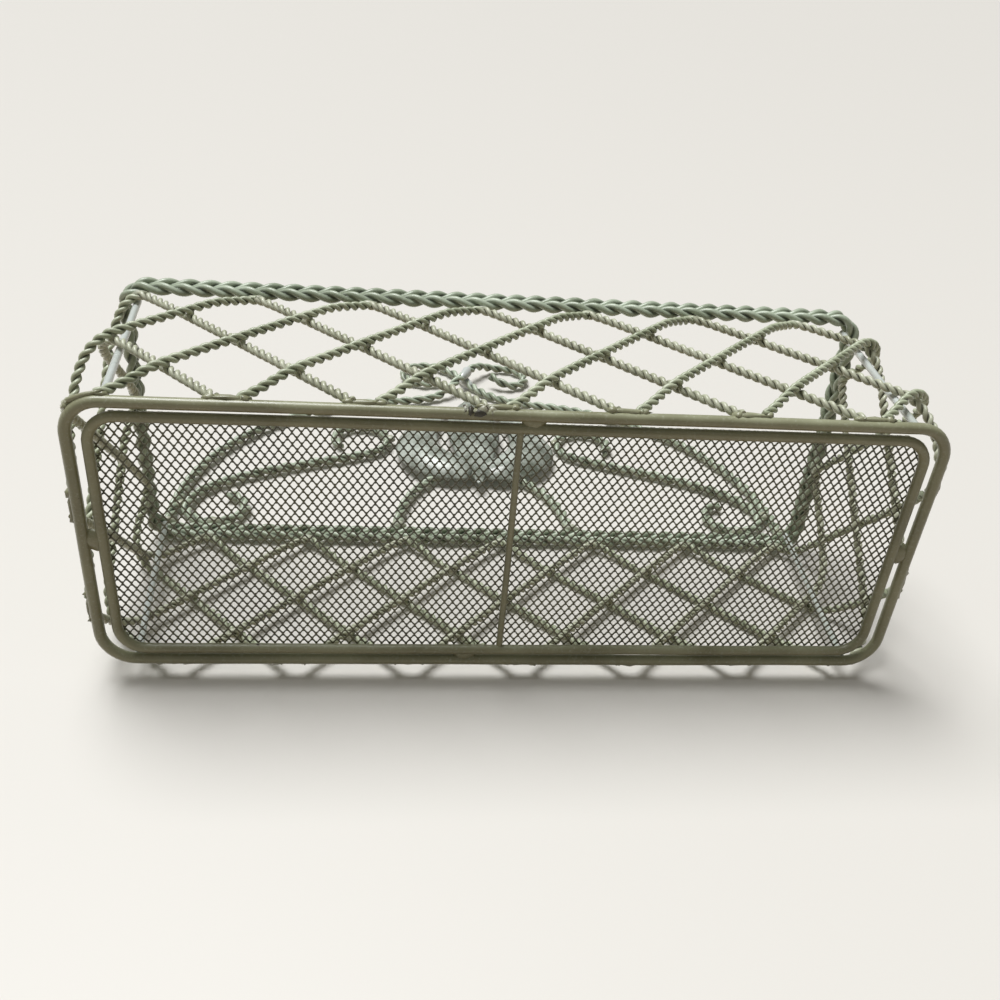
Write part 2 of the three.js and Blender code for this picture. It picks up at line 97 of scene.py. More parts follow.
# rounded rectangles, walked anticlockwise from the middle of the front
def roundedLoop(width, depth, corner, centreY):
    run, side = width / 2 - corner, depth / 2 - corner
    length = 4 * (run + side + quarterTurn * corner)
    return {"run": run, "side": side, "corner": corner, "centreY": centreY, "length": length}


# corners count from 0 at the front right to 3 at the front left
def onCorner(loop, corner, share):
    x = loop["run"] if corner in (0, 1) else -loop["run"]
    y = loop["side"] if corner in (1, 2) else -loop["side"]
    angle = quarterTurn * (corner - 1 + share)
    outward = Vector((math.cos(angle), math.sin(angle), 0))
    return Vector((x, loop["centreY"] + y, 0)) + outward * loop["corner"], outward


# the first and last legs are the two halves of the front
def onLoop(loop, share):
    left = share % 1 * loop["length"]
    quarter = quarterTurn * loop["corner"]
    legs = (loop["run"], 2 * loop["side"], 2 * loop["run"], 2 * loop["side"], loop["run"])
    corners = len(legs) - 1
    for turn, leg in enumerate(legs):
        if left <= leg or turn == corners:
            point, outward = onCorner(loop, turn % corners, 0)
            onward = Vector((-outward.y, outward.x, 0))
            toGo = (2 * loop["run"] if turn == corners else leg) - left
            return point - onward * toGo, outward
        left -= leg
        if left <= quarter:
            return onCorner(loop, turn, left / quarter)
        left -= quarter


def loopPath(loop, z, count):
    return [onLoop(loop, i / count)[0] + up * z for i in range(count)]


# even steps along an open line of points
def evenSteps(points, step):
    lengths = [0]
    for before, after in zip(points, points[1:]):
        lengths.append(lengths[-1] + (after - before).length)
    count = max(2, round(lengths[-1] / step))
    even, k = [], 0
    for i in range(count + 1):
        wanted = lengths[-1] * i / count
        while k < len(points) - 2 and lengths[k + 1] < wanted:
            k += 1
        span = lengths[k + 1] - lengths[k]
        even.append(points[k].lerp(points[k + 1], (wanted - lengths[k]) / span if span else 0))
    return even


# a line moved a little out of true, as a rod bent by hand is
def wander(points, amount, scale, seed):
    moved = []
    for point in points:
        shift = noise.noise_vector(point * scale + Vector((seed, 0, 0)))
        moved.append(point + shift * amount)
    return moved


# round rods along lines, each with its share of the radius
def tubeMesh(lines, radius, sides, closed, shares=None):
    curve = bpy.data.curves.new("rod", "CURVE")
    curve.dimensions = "3D"
    curve.bevel_depth = radius
    # a curve has twice this number of sides and four more
    curve.bevel_resolution = sides // 2 - 2
    curve.use_fill_caps = True
    for n, line in enumerate(lines):
        spline = curve.splines.new("POLY")
        spline.points.add(len(line) - 1)
        for point, place in zip(spline.points, line):
            point.co = (*place, 1)
            point.radius = shares[n] if shares else 1
        spline.use_cyclic_u = closed
    holder = bpy.data.objects.new("rod", curve)
    scene.collection.objects.link(holder)
    bpy.context.view_layer.update()
    finished = holder.evaluated_get(bpy.context.evaluated_depsgraph_get())
    mesh = bpy.data.meshes.new_from_object(finished)
    bpy.data.objects.remove(holder)
    bpy.data.curves.remove(curve)
    return mesh


# two strands wound round a line
def twistedLines(points, facings, closed, strand, pitch, lay, phase):
    count = len(points)
    strands = [[], []]
    travelled = 0
    for i, point in enumerate(points):
        before = points[i - 1] if closed or i else point
        after = points[(i + 1) % count] if closed or i < count - 1 else point
        along = (after - before).normalized()
        across = (facings[i] - along * facings[i].dot(along)).normalized()
        beside = along.cross(across)
        if i:
            travelled += (point - points[i - 1]).length
        for k, line in enumerate(strands):
            angle = phase + lay * 2 * math.pi * travelled / pitch + k * math.pi
            line.append(point + (across * math.cos(angle) + beside * math.sin(angle)) * strand)
    return strands


# how deep each point lies in the groove of a twisted wire, 0 on the crown and 1 at the bottom
def markGroove(mesh, axis, crown, bottom):
    tree = kdtree.KDTree(len(axis))
    for i, point in enumerate(axis):
        tree.insert(point, i)
    tree.balance()
    layer = mesh.attributes.new("groove", "FLOAT", "POINT")
    for i, vert in enumerate(mesh.vertices):
        layer.data[i].value = 1 - smoothStep(tree.find(vert.co)[2], bottom, crown)


# a twisted wire: its two strands, and a core for the paint that fills the groove between them
def twistedMesh(path, facings, closed, wire, pitch, lay, phase):
    strand = wire["strand"]
    lines = twistedLines(path, facings, closed, strand, pitch, lay, phase)
    mesh = tubeMesh([*lines, path], strand, wire["sides"], closed, (1, 1, wire["fill"]))
    markGroove(mesh, path, 2 * strand, strand * wire["groove"])
    return mesh


def bmeshToMesh(bm):
    mesh = bpy.data.meshes.new("piece")
    bm.to_mesh(mesh)
    bm.free()
    return mesh


def placePiece(name, mesh, material, slot, *nodes):
    mesh.name = name
    mesh.shade_smooth()
    mesh.materials.clear()
    mesh.materials.append(material)
    piece = bpy.data.objects.new(name, mesh)
    scene.collection.objects.link(piece)
    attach(piece, "root")
    if nodes:
        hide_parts(*nodes)
    return piece


# a piece that stands for one solid and has its name in camel case
def dressNode(node, mesh, material, slot):
    first, *others = node.split("_")
    return placePiece(first + "".join(word.capitalize() for word in others), mesh, material, slot, node)


# a weld: a ball pressed flat along its own axes, with a rough skin
weldSkin = {"subdivisions": 2, "waves": 1.9, "spread": 700}


def addLump(bm, centre, size, along, top, rough):
    beside = top.cross(along).normalized()
    upward = along.cross(beside)
    turn = Matrix((along, beside, upward)).transposed()
    ball = bmesh.ops.create_icosphere(bm, subdivisions=weldSkin["subdivisions"], radius=1)
    for vert in ball["verts"]:
        swell = 1 + rough * noise.noise(vert.co * weldSkin["waves"] + centre * weldSkin["spread"])
        shape = Vector((vert.co.x * size[0], vert.co.y * size[1], vert.co.z * size[2]))
        vert.co = centre + turn @ (shape * swell)


# shader nodes: a socket takes a number, a colour or a link
def feed(tree, socket, value):
    if isinstance(value, (int, float, tuple)):
        socket.default_value = value
    else:
        tree.links.new(value, socket)


def noiseAt(tree, scale, detail, rough=0.5):
    where = tree.nodes.new("ShaderNodeTexCoord")
    texture = tree.nodes.new("ShaderNodeTexNoise")
    feed(tree, texture.inputs["Scale"], scale)
    feed(tree, texture.inputs["Detail"], detail)
    feed(tree, texture.inputs["Roughness"], rough)
    feed(tree, texture.inputs["Vector"], where.outputs["Object"])
    return texture.outputs["Fac"]


def blendColours(tree, factor, first, second):
    blend = tree.nodes.new("ShaderNodeMix")
    blend.data_type = "RGBA"
    feed(tree, blend.inputs["Factor"], factor)
    feed(tree, blend.inputs["A"], first)
    feed(tree, blend.inputs["B"], second)
    return blend.outputs["Result"]


def spreadRange(tree, value, low, high):
    spread = tree.nodes.new("ShaderNodeMapRange")
    feed(tree, spread.inputs["From Min"], low)
    feed(tree, spread.inputs["From Max"], high)
    feed(tree, spread.inputs["Value"], value)
    return spread.outputs["Result"]


def calculate(tree, operation, first, second):
    step = tree.nodes.new("ShaderNodeMath")
    step.operation = operation
    feed(tree, step.inputs[0], first)
    feed(tree, step.inputs[1], second)
    return step.outputs["Value"]


def mixShaders(tree, factor, first, second):
    blend = tree.nodes.new("ShaderNodeMixShader")
    feed(tree, blend.inputs["Fac"], factor)
    feed(tree, blend.inputs[1], first)
    feed(tree, blend.inputs[2], second)
    return blend.outputs["Shader"]


# a node group with named sockets, and its input and output nodes
def makeGroup(name, inputs, outputs):
    group = bpy.data.node_groups.new(name, "ShaderNodeTree")
    for way, sockets in (("INPUT", inputs), ("OUTPUT", outputs)):
        for socket, kind in sockets.items():
            group.interface.new_socket(socket, in_out=way, socket_type=kind)
    return group, group.nodes.new("NodeGroupInput"), group.nodes.new("NodeGroupOutput")


colourSocket, valueSocket = "NodeSocketColor", "NodeSocketFloat"

# paint: mottled sage, speckled dust kept to the crowns, which also paints them lighter as a highlight,
# painted shade darkening the grooves, and the skin of a dipped coat
sage = {
    "mottleDetail": 3, "toneRange": (0.34, 0.66), "roughRange": (0.3, 0.7), "mottleRough": 0.12,
    "dripScale": 140, "dripDetail": 3, "dripRange": (0.2, 0.6), "grooveRange": (0.25, 1.0), "grooveShadeRough": 0.3,
    "speckScale": 620, "speckDetail": 5, "speckRoughness": 0.62, "speckRange": (0.54, 0.7),
    "dustAndSheenRough": 0.25, "speckHeight": 0.35, "skinScale": 900, "skinDetail": 2, "skinHeight": 0.5,
}


def makeSagePaintGroup():
    inputs = {
        "Light": colourSocket, "Deep": colourSocket, "Grime": colourSocket, "Dust": colourSocket,
        "Mottle Scale": valueSocket, "Dust And Sheen Amount": valueSocket, "Groove Shade Amount": valueSocket,
        "Gloss": valueSocket,
    }
    outputs = {"Color": colourSocket, "Roughness": valueSocket, "Height": valueSocket}
    group, source, result = makeGroup("sagePaint", inputs, outputs)
    given = source.outputs
    attribute = group.nodes.new("ShaderNodeAttribute")
    attribute.attribute_name = "groove"
    groove = attribute.outputs["Fac"]
    mottle = noiseAt(group, given["Mottle Scale"], sage["mottleDetail"])
    speck = noiseAt(group, sage["speckScale"], sage["speckDetail"], sage["speckRoughness"])
    skin = noiseAt(group, sage["skinScale"], sage["skinDetail"])
    drip = noiseAt(group, sage["dripScale"], sage["dripDetail"])

    def times(first, second):
        return calculate(group, "MULTIPLY", first, second)

    def plus(first, second):
        return calculate(group, "ADD", first, second)

    tone = blendColours(group, spreadRange(group, mottle, *sage["toneRange"]), given["Deep"], given["Light"])
    # painted shade: the grooves darken towards the dark groove colour, patchy with the drip noise, and grow
    # rougher
    grooveShade = times(spreadRange(group, groove, *sage["grooveRange"]), given["Groove Shade Amount"])
    grooveShade = times(grooveShade, spreadRange(group, drip, *sage["dripRange"]))
    tone = blendColours(group, grooveShade, tone, given["Grime"])
    # pale speckled dust, kept off the grooves, so on twisted pieces it also paints the crowns lighter as a
    # painted highlight
    dustAndSheen = times(spreadRange(group, speck, *sage["speckRange"]), given["Dust And Sheen Amount"])
    dustAndSheen = times(dustAndSheen, calculate(group, "SUBTRACT", 1.0, groove))
    tone = blendColours(group, dustAndSheen, tone, given["Dust"])
    rough = plus(given["Gloss"], times(grooveShade, sage["grooveShadeRough"]))
    rough = plus(rough, times(spreadRange(group, mottle, *sage["roughRange"]), sage["mottleRough"]))
    rough = plus(rough, times(dustAndSheen, sage["dustAndSheenRough"]))
    height = plus(times(skin, sage["skinHeight"]), drip)
    height = plus(height, times(speck, sage["speckHeight"]))
    feed(group, result.inputs["Color"], tone)
    feed(group, result.inputs["Roughness"], rough)
    feed(group, result.inputs["Height"], height)
    return group


# bare spots where the coat has chipped down to dark steel
chip = {"detail": 6, "roughness": 0.7, "edge": 0.04, "bare": (62, 50, 38)}


def makeChipGroup():
    inputs = {"Color": colourSocket, "Bare": colourSocket, "Scale": valueSocket, "Threshold": valueSocket}
    outputs = {"Color": colourSocket, "Mask": valueSocket}
    group, source, result = makeGroup("chippedCoat", inputs, outputs)
    given = source.outputs
    spots = noiseAt(group, given["Scale"], chip["detail"], chip["roughness"])
    over = calculate(group, "SUBTRACT", spots, given["Threshold"])
    mask = spreadRange(group, over, 0, chip["edge"])
    feed(group, result.inputs["Color"], blendColours(group, mask, given["Color"], given["Bare"]))
    feed(group, result.inputs["Mask"], mask)
    return group


sagePaint = makeSagePaintGroup()
chippedCoat = makeChipGroup()

gloss = {"specular": 0.6, "coat": 0.2, "coatRoughness": 0.2, "bumpDistance": 0.0006}
# in each paint the dark groove colour and its amount are painted shade for the grooves of twisted pieces
paints = {
    # base rods: a darker, browner copy of the sage paint, painted shade for rods whose seen faces are turned
    # from the light
    "rodShadedPaint": {
        "light": (158, 161, 132), "deep": (130, 131, 102), "grime": (56, 48, 30), "dust": (190, 195, 174),
        "mottle": 26, "dustAndSheenAmount": 0.35, "grooveShadeAmount": 0.7, "gloss": 0.3, "bump": 0.12,
        "chipScale": 160, "chipThreshold": 0.70},
    "ropePaint": {
        "light": (180, 193, 172), "deep": (147, 159, 136), "grime": (58, 64, 50), "dust": (206, 216, 202),
        "mottle": 34, "dustAndSheenAmount": 0.4, "grooveShadeAmount": 0.95, "gloss": 0.32, "bump": 0.16,
        "chipScale": 190, "chipThreshold": 0.71},
    "wirePaint": {
        "light": (190, 198, 172), "deep": (156, 165, 137), "grime": (54, 54, 38), "dust": (212, 216, 196),
        "mottle": 40, "dustAndSheenAmount": 0.45, "grooveShadeAmount": 0.95, "gloss": 0.34, "bump": 0.14,
        "chipScale": 210, "chipThreshold": 0.71},
    "paleWirePaint": {
        "light": (200, 204, 182), "deep": (168, 172, 147), "grime": (62, 58, 40), "dust": (220, 220, 204),
        "mottle": 40, "dustAndSheenAmount": 0.5, "grooveShadeAmount": 0.95, "gloss": 0.32, "bump": 0.14,
        "chipScale": 210, "chipThreshold": 0.72},
    # posts and the crest's crossing sleeve: pale bluish white, a painted highlight of glossy sheen on the
    # sage paint
    "postPaint": {
        "light": (206, 213, 211), "deep": (182, 189, 182), "grime": (84, 82, 62), "dust": (226, 231, 230),
        "mottle": 26, "dustAndSheenAmount": 0.3, "grooveShadeAmount": 0.6, "gloss": 0.2, "bump": 0.1,
        "chipScale": 160, "chipThreshold": 0.73},
    # floor mesh: a much darker copy of the sage paint, painted shade for the mesh lying in shade
    "meshPaint": {
        "light": (98, 98, 74), "deep": (70, 69, 49), "grime": (36, 32, 21), "dust": (136, 140, 116),
        "mottle": 22, "dustAndSheenAmount": 0.2, "grooveShadeAmount": 0.5, "gloss": 0.42, "bump": 0.08,
        "chipScale": 120, "chipThreshold": 0.72},
    "sheetPaint": {
        "light": (184, 192, 183), "deep": (102, 109, 97), "grime": (66, 68, 52), "dust": (230, 236, 238),
        "mottle": 64, "dustAndSheenAmount": 0.3, "grooveShadeAmount": 0.9, "gloss": 0.22, "bump": 0.1,
        "chipScale": 130, "chipThreshold": 0.72},
    "weldPaint": {
        "light": (186, 191, 174), "deep": (152, 154, 130), "grime": (64, 55, 36), "dust": (214, 219, 208),
        "mottle": 130, "dustAndSheenAmount": 0.5, "grooveShadeAmount": 0.9, "gloss": 0.32, "bump": 0.35,
        "chipScale": 260, "chipThreshold": 0.63},
    "buttPaint": {
        "light": (184, 190, 176), "deep": (136, 134, 108), "grime": (70, 58, 40), "dust": (218, 224, 218),
        "mottle": 210, "dustAndSheenAmount": 0.5, "grooveShadeAmount": 0.9, "gloss": 0.34, "bump": 0.5,
        "chipScale": 330, "chipThreshold": 0.55},
    # near black: painted shade in the gap between the base ring's rod ends
    "gapShadePaint": {
        "light": (60, 57, 42), "deep": (38, 35, 25), "grime": (28, 25, 18), "dust": (88, 88, 70),
        "mottle": 210, "dustAndSheenAmount": 0.2, "grooveShadeAmount": 0.6, "gloss": 0.5, "bump": 0.5,
        "chipScale": 330, "chipThreshold": 0.7},
}


def makePaint(name, finish):
    material = bpy.data.materials.new(name)
    material.use_nodes = True
    tree = material.node_tree
    shader = tree.nodes["Principled BSDF"]
    shader.inputs["Metallic"].default_value = 0.0
    shader.inputs["Specular IOR Level"].default_value = gloss["specular"]
    shader.inputs["Coat Weight"].default_value = gloss["coat"]
    shader.inputs["Coat Roughness"].default_value = gloss["coatRoughness"]
    coat = tree.nodes.new("ShaderNodeGroup")
    coat.node_tree = sagePaint
    for socket in ("Light", "Deep", "Grime", "Dust"):
        feed(tree, coat.inputs[socket], srgb(*finish[socket.lower()]))
    feed(tree, coat.inputs["Mottle Scale"], finish["mottle"])
    feed(tree, coat.inputs["Dust And Sheen Amount"], finish["dustAndSheenAmount"])
    feed(tree, coat.inputs["Groove Shade Amount"], finish["grooveShadeAmount"])
    feed(tree, coat.inputs["Gloss"], finish["gloss"])
    chips = tree.nodes.new("ShaderNodeGroup")
    chips.node_tree = chippedCoat
    feed(tree, chips.inputs["Color"], coat.outputs["Color"])
    feed(tree, chips.inputs["Bare"], srgb(*chip["bare"]))
    feed(tree, chips.inputs["Scale"], finish["chipScale"])
    feed(tree, chips.inputs["Threshold"], finish["chipThreshold"])
    bump = tree.nodes.new("ShaderNodeBump")
    feed(tree, bump.inputs["Strength"], finish["bump"])
    feed(tree, bump.inputs["Distance"], gloss["bumpDistance"])
    relief = calculate(tree, "SUBTRACT", coat.outputs["Height"], chips.outputs["Mask"])
    feed(tree, bump.inputs["Height"], relief)
    feed(tree, shader.inputs["Base Color"], chips.outputs["Color"])
    feed(tree, shader.inputs["Roughness"], coat.outputs["Roughness"])
    feed(tree, shader.inputs["Normal"], bump.outputs["Normal"])
    return material


paint = {name: makePaint(name, finish) for name, finish in paints.items()}
print("paints mixed:", len(paint))

# base ring, bent by hand, so its rod wanders a little
baseRing = {"steps": 420, "sides": 14, "wander": 0.00035, "wanderScale": 14, "seed": 3}
ringLoop = roundedLoop(basket["ringWidth"], basket["ringDepth"], basket["ringCorner"], ringCentreY)
ringPath = loopPath(ringLoop, ringZ, baseRing["steps"])
ringPath = wander(ringPath, baseRing["wander"], baseRing["wanderScale"], baseRing["seed"])
mesh = tubeMesh([ringPath], basket["ringRod"], baseRing["sides"], True)
dressNode("base_ring", mesh, paint["rodShadedPaint"], "rod_paint")

# tray frame inside the base ring
tray = {
    "sideInset": 0.0086, "longInset": 0.0066, "corner": 0.013, "rod": 0.0025, "sides": 12, "steps": 400,
    "wander": 0.0003, "wanderScale": 14, "seed": 8,
}
trayWidth = basket["ringWidth"] - 2 * tray["sideInset"]
trayDepth = basket["ringDepth"] - 2 * tray["longInset"]
trayLoop = roundedLoop(trayWidth, trayDepth, tray["corner"], ringCentreY)
trayPath = loopPath(trayLoop, ringZ, tray["steps"])
trayPath = wander(trayPath, tray["wander"], tray["wanderScale"], tray["seed"])
mesh = tubeMesh([trayPath], tray["rod"], tray["sides"], True)
dressNode("tray_frame", mesh, paint["rodShadedPaint"], "rod_paint")

# crossbar under the floor, from the front of the tray to its back
ringFrontY = ringCentreY - basket["ringDepth"] / 2
ringBackY = ringCentreY + basket["ringDepth"] / 2
trayFrontY = ringFrontY + tray["longInset"]
trayBackY = ringBackY - tray["longInset"]
crossbar = {
    "rod": 0.0016, "x": -0.0033, "sides": 10, "lap": 0.001, "step": 0.004,
    "wander": 0.0002, "wanderScale": 30, "seed": 5,
}
barZ = ringZ + tray["rod"] - crossbar["rod"]
barFront = Vector((crossbar["x"], trayFrontY - crossbar["lap"], barZ))
barBack = Vector((crossbar["x"], trayBackY + crossbar["lap"], barZ))
barPath = evenSteps((barFront, barBack), crossbar["step"])
barPath = wander(barPath, crossbar["wander"], crossbar["wanderScale"], crossbar["seed"])
mesh = tubeMesh([barPath], crossbar["rod"], crossbar["sides"], False)
dressNode("tray_crossbar", mesh, paint["rodShadedPaint"], "rod_paint")

# welds that bridge the base ring and the tray frame
trayWeld = {"frontX": 0.0015, "backX": -0.0208, "lap": 1.2, "width": 0.0056, "height": 0.0027,
            "rise": 0.0006, "rough": 0.35}
for node, onRing, onTray in (
    ("tray_weld_left", (-basket["ringWidth"] / 2, ringCentreY), (-trayWidth / 2, ringCentreY)),
    ("tray_weld_right", (basket["ringWidth"] / 2, ringCentreY), (trayWidth / 2, ringCentreY)),
    ("tray_weld_front", (trayWeld["frontX"], ringFrontY), (trayWeld["frontX"], trayFrontY)),
    ("tray_weld_back", (trayWeld["backX"], ringBackY), (trayWeld["backX"], trayBackY)),
):
    start, end = Vector((*onRing, ringZ)), Vector((*onTray, ringZ))
    reach = (end - start).length / 2
    size = (reach * trayWeld["lap"], trayWeld["width"], trayWeld["height"])
    middle = (start + end) / 2 + up * trayWeld["rise"]
    bm = bmesh.new()
    addLump(bm, middle, size, (end - start).normalized(), up, trayWeld["rough"])
    dressNode(node, bmeshToMesh(bm), paint["rodShadedPaint"], "rod_paint")
print("base and tray bent")

# floor of expanded metal: a grid of diamonds, each inset and opened, cut to the tray and thickened
floorMesh = {
    "cellWidth": 0.00405, "cellDepth": 0.0059, "strand": 0.00056, "bond": 0.0006, "thickness": 0.00055,
    "tilt": 0.00022, "overhang": 0.0012, "cornerCuts": 3, "openingSides": 6, "sortDigits": 7,
}


# straight cuts along the four sides and round the corners, each as a place and the way outward
def floorCuts(halfWidth, halfDepth):
    cuts = [((halfWidth, 0), (1, 0)), ((-halfWidth, 0), (-1, 0)),
            ((0, halfDepth), (0, 1)), ((0, -halfDepth), (0, -1))]
    rounding = tray["corner"] + floorMesh["overhang"]
    for x in (-1, 1):
        for y in (-1, 1):
            for k in range(floorMesh["cornerCuts"]):
                angle = quarterTurn * (k + 1) / (floorMesh["cornerCuts"] + 1)
                way = (x * math.cos(angle), y * math.sin(angle))
                cutX = x * (halfWidth - rounding) + way[0] * rounding
                cutY = y * (halfDepth - rounding) + way[1] * rounding
                cuts.append(((cutX, cutY), way))
    return cuts


# points and faces in order of place, since the operators leave them in another order in each run
def sortByPlace(bm):
    def rounded(place):
        return tuple(round(value, floorMesh["sortDigits"]) for value in place)

    points = sorted(bm.verts, key=lambda vert: rounded(vert.co))
    faces = sorted(bm.faces, key=lambda face: rounded(face.calc_center_median()))
    for elements in (points, faces):
        for index, element in enumerate(elements):
            element.index = index
    bm.verts.sort()
    bm.faces.sort()


def makeFloorMesh():
    halfWidth = trayWidth / 2 + floorMesh["overhang"]
    halfDepth = trayDepth / 2 + floorMesh["overhang"]
    cells = 2 * math.ceil(halfWidth / floorMesh["cellWidth"] + halfDepth / floorMesh["cellDepth"]) + 2
    bm = bmesh.new()
    bmesh.ops.create_grid(bm, x_segments=cells, y_segments=cells, size=cells / 2)
    bmesh.ops.rotate(bm, verts=bm.verts, matrix=Matrix.Rotation(quarterTurn / 2, 3, "Z"))
    stretch = (floorMesh["cellWidth"] / math.sqrt(2), floorMesh["cellDepth"] / math.sqrt(2), 1)
    bmesh.ops.scale(bm, verts=bm.verts, vec=stretch)
    beyond = []
    for face in bm.faces:
        middle = face.calc_center_median()
        pastSide = abs(middle.x) > halfWidth + floorMesh["cellWidth"]
        if pastSide or abs(middle.y) > halfDepth + floorMesh["cellDepth"]:
            beyond.append(face)
    bmesh.ops.delete(bm, geom=beyond, context="FACES")
    openings = bm.faces[:]
    bmesh.ops.inset_individual(bm, faces=openings, thickness=floorMesh["strand"] / 2, use_even_offset=True)
    bonds = []
    for opening in openings:
        middle = opening.calc_center_median()
        for vert in opening.verts:
            vert.co.z += floorMesh["tilt"] * (vert.co.y - middle.y) / (floorMesh["cellDepth"] / 2)
            if abs(vert.co.y - middle.y) > abs(vert.co.x - middle.x):
                bonds.append(vert)
    bmesh.ops.bevel(bm, geom=bonds, offset=floorMesh["bond"], segments=1, profile=0.5, material=-1,
                    affect="VERTICES")
    openings = [face for face in bm.faces if len(face.verts) == floorMesh["openingSides"]]
    bmesh.ops.delete(bm, geom=openings, context="FACES_ONLY")
    for place, way in floorCuts(halfWidth, halfDepth):
        bmesh.ops.bisect_plane(bm, geom=bm.verts[:] + bm.edges[:] + bm.faces[:], plane_co=(*place, 0),
                               plane_no=(*way, 0), clear_outer=True)
    bmesh.ops.recalc_face_normals(bm, faces=bm.faces)
    bmesh.ops.solidify(bm, geom=bm.faces[:], thickness=floorMesh["thickness"])
    floorZ = ringZ + tray["rod"] + basket["gap"] + floorMesh["thickness"]
    bmesh.ops.translate(bm, verts=bm.verts, vec=(0, ringCentreY, floorZ))
    bmesh.ops.recalc_face_normals(bm, faces=bm.faces)
    sortByPlace(bm)
    return bmeshToMesh(bm)


floorPiece = dressNode("tray_mesh", makeFloorMesh(), paint["meshPaint"], "mesh_paint")
floorPiece.data.shade_flat()
print("floor expanded:", len(floorPiece.data.polygons), "faces")

# rim: two ropes of opposite lay
rim = {"strand": 0.00175, "pitch": 0.0216, "stepsPerTurn": 16, "sides": 10, "fill": 0.62, "groove": 0.6}
rimLoop = roundedLoop(basket["rimWidth"], basket["rimDepth"], basket["rimCorner"], 0)
rimTurns = round(rimLoop["length"] / rim["pitch"])
for node, z, lay in (("rim_lower_rope", lowerRopeZ, 1), ("rim_upper_rope", upperRopeZ, -1)):
    path = loopPath(rimLoop, z, rimTurns * rim["stepsPerTurn"])
    walked = sum((after - before).length for before, after in zip(path, path[1:] + path[:1]))
    mesh = twistedMesh(path, [up] * len(path), True, rim, walked / rimTurns, lay, 0)
    dressNode(node, mesh, paint["ropePaint"], "rope_paint")
print("rim laid:", rimTurns, "turns")

# walls: a sloping surface from the base ring to the rim, which posts and wires follow
post = {"rod": 0.0018, "inset": 0.0012, "lap": 0.0012, "sides": 12, "step": 0.004, "wander": 0.0003,
        "wanderScale": 25}
rimTuck = basket["rope"] + post["rod"] + basket["gap"] - post["inset"]
wallTopLoop = roundedLoop(basket["rimWidth"] - 2 * rimTuck, basket["rimDepth"] - 2 * rimTuck,
                          basket["rimCorner"] - rimTuck, 0)


def betweenLoops(low, high, z, offset):
    rise = (z - ringZ) / (lowerRopeZ - ringZ)
    outward = low[1].lerp(high[1], rise).normalized()
    return low[0].lerp(high[0], rise) + outward * offset + up * z, outward


# a place on the wall at a distance walked round the base ring from the front middle
def onWall(walked, z, offset):
    share = walked / ringLoop["length"]
    return betweenLoops(onLoop(ringLoop, share), onLoop(wallTopLoop, share), z, offset)


# posts stand where the long sides of the base ring end and lean on the middle of the rim's corners
footShares = {"front_right": 0, "back_right": 1, "back_left": 0, "front_left": 1}
for corner, (words, footShare) in enumerate(footShares.items()):
    low, high = onCorner(ringLoop, corner, footShare), onCorner(wallTopLoop, corner, 0.5)
    heights = (ringZ + basket["ringRod"] - post["lap"], lowerRopeZ)
    ends = [betweenLoops(low, high, z, -post["inset"])[0] for z in heights]
    path = wander(evenSteps(ends, post["step"]), post["wander"], post["wanderScale"], corner)
    mesh = tubeMesh([path], post["rod"], post["sides"], False)
    # the posts take the pale bluish-white paint, a painted highlight
    dressNode("corner_post_" + words, mesh, paint["postPaint"], "rod_paint")

# lattice: two layers of twisted wire, which start in pairs at nodes on the base ring
lattice = {
    "nodesPerLongSide": 7, "nodesPerShortSide": 2, "frontShift": -0.014, "backShift": -0.0085,
    "nodesPerWire": 2, "wire": 0.0019, "footSpacing": 0.014, "footLap": 0.0022, "ramp": 0.022,
    "peakRound": 0.004, "strand": 0.00122, "outerPitch": 0.0110, "innerPitch": 0.0097, "stepsPerTurn": 12,
    "sides": 8, "fill": 0.62, "groove": 0.6, "samples": 90, "phasePerMetre": 90,
}

# nodes, as distances walked round the base ring: rows on the front and back, those of the sides between
longCount, shortCount = lattice["nodesPerLongSide"], lattice["nodesPerShortSide"]
nodePitch = ringLoop["length"] / (2 * (longCount + shortCount))
halfRow = (longCount - 1) / 2 * nodePitch
frontRow = (lattice["frontShift"] - halfRow, lattice["frontShift"] + halfRow)
backMiddle = ringLoop["length"] / 2 + lattice["backShift"]
backRow = (backMiddle - halfRow, backMiddle + halfRow)
rightPitch = (backRow[0] - frontRow[1]) / (shortCount + 1)
leftPitch = (frontRow[0] + ringLoop["length"] - backRow[1]) / (shortCount + 1)
latticeNodes = []
for panel, count, first, pitch in (
    ("front", longCount, frontRow[0], nodePitch),
    ("right", shortCount, frontRow[1] + rightPitch, rightPitch),
    ("back", longCount, backRow[0], nodePitch),
    ("left", shortCount, backRow[1] + leftPitch, leftPitch),
):
    for number in range(count):
        latticeNodes.append((panel, number + 1, first + number * pitch))


# distance walked to a node by its place in the list, which goes on round the basket past both ends
def nodeAt(index):
    rounds, place = divmod(index, len(latticeNodes))
    return latticeNodes[place][2] + rounds * ringLoop["length"]


innerOffset = post["rod"] + lattice["wire"] + basket["gap"] - post["inset"]
outerOffset = innerOffset + 2 * lattice["wire"] + basket["gap"]
wireRun = lattice["nodesPerWire"] * nodePitch - lattice["footSpacing"] / 2
wireFootZ = ringZ + basket["ringRod"] + lattice["strand"]
wirePeakZ = lowerRopeZ - basket["rope"] - 2 * lattice["strand"]
wireSlope = (wirePeakZ - wireFootZ) / (math.hypot(wireRun, lattice["peakRound"]) - lattice["peakRound"])


# height of a wire at a distance walked from its foot: straight, then rounded over at the peak
def wireHeight(walked):
    toGo = wireRun - walked
    return wirePeakZ - wireSlope * (math.hypot(toGo, lattice["peakRound"]) - lattice["peakRound"])


